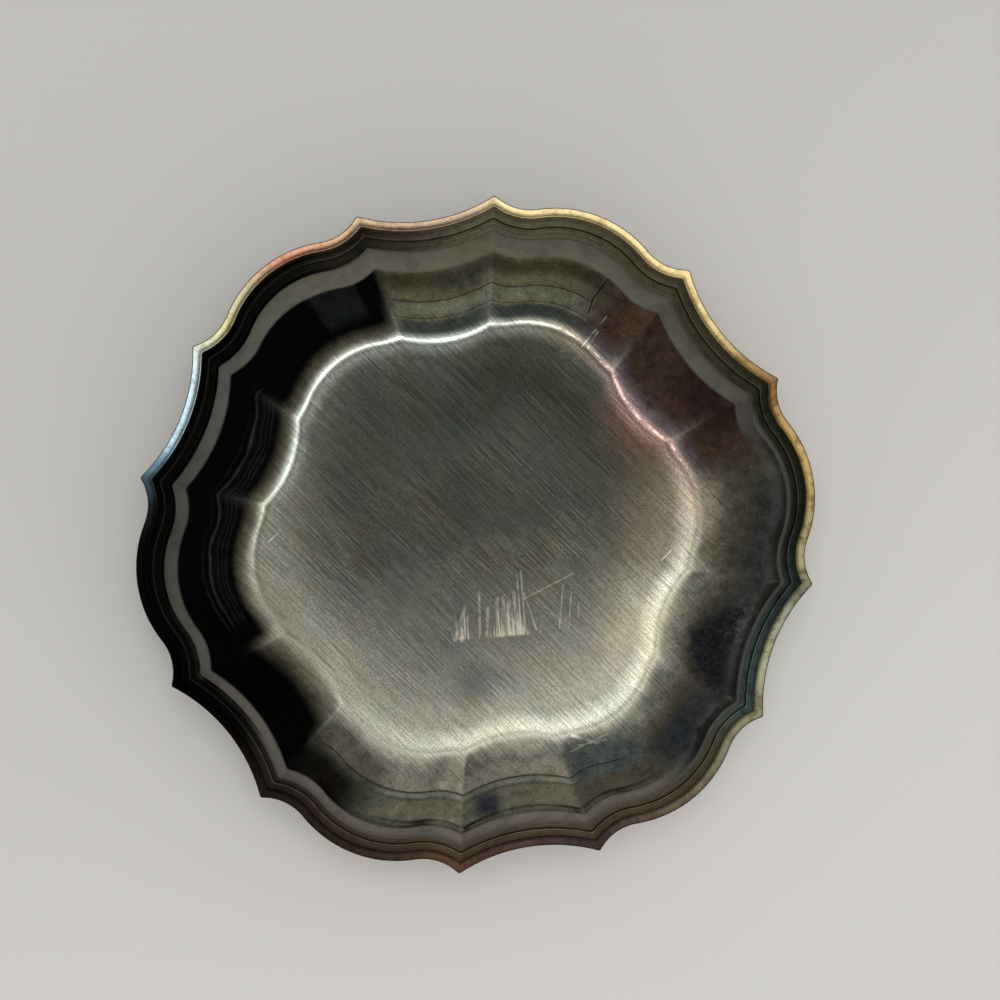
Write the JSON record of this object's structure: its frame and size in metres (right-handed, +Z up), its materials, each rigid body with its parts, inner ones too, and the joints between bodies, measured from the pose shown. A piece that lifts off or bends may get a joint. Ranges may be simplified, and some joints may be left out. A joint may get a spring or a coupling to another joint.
{
  "type": "candy dish",
  "caption": "Shallow round candy dish of tarnished silver plate, with a scalloped, fluted wall, a flat brushed floor and a narrow moulded border round its pointed rim.",
  "frame": {"origin": "centre of the flat underside, on the surface that the dish stands on", "axes": "+Z up through the middle of the mouth; +X through the middle of a wide panel; +Y through the middle of a narrow panel"},
  "size_m": [0.1658, 0.1614, 0.025],
  "materials": {
    "bowl_silver": "silver plate, brushed in one direction, tarnished olive-grey, brown and blue-black in patches",
    "border_silver": "silver plate, polished, tarnished golden yellow, orange and brown, with a little blue and green"
  },
  "bodies": {
    "root": {"bowl": "bowl_silver", "rim_border": "border_silver"}
  },
  "joints": []
}
